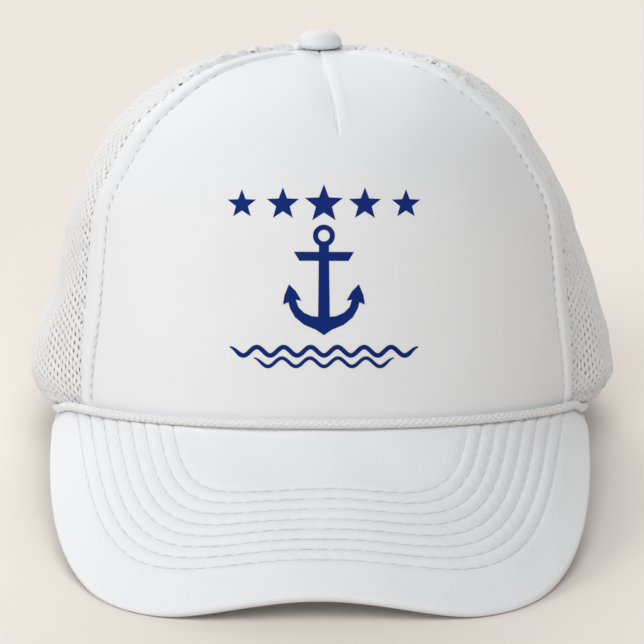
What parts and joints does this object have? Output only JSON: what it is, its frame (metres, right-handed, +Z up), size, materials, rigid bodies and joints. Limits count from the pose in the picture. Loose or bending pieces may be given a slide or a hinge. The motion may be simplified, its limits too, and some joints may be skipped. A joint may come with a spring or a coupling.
{
  "type": "trucker hat",
  "caption": "White trucker hat with a padded front panel, net sides and back, a row-stitched curved peak, a braided cord over the peak's seam, a covered button and a snap strap.",
  "frame": {"origin": "on the floor that the hat lies on, under the middle of its outline", "axes": "+Z up, front and peak towards -Y, +X to the wearer's left as seen by the wearer, the hat lying on its peak and the back of its rim"},
  "size_m": [0.2054, 0.2556, 0.1416],
  "materials": {
    "front_foam": "smooth knitted cloth over foam",
    "net": "open polyester net",
    "peak_cloth": "fine cloth, quilted by rows of stitches",
    "cord": "shiny braided cord",
    "button_cloth": "cloth stretched over a button",
    "band_cloth": "plain woven cloth",
    "binding_cloth": "plain woven tape",
    "tape": "plain woven tape",
    "strap_plastic": "smooth moulded plastic"
  },
  "bodies": {
    "root": {"front_panel": "front_foam", "side_panel_left": "net", "side_panel_right": "net", "back_panel_left": "net", "back_panel_right": "net", "peak": "peak_cloth", "peak_cord": "cord", "top_button": "button_cloth", "sweatband": "band_cloth", "arch_binding": "binding_cloth", "seam_tape_left": "tape", "seam_tape_right": "tape", "seam_tape_back": "tape", "snap_strap_holes": "strap_plastic", "snap_strap_pegs": "strap_plastic"}
  },
  "joints": []
}
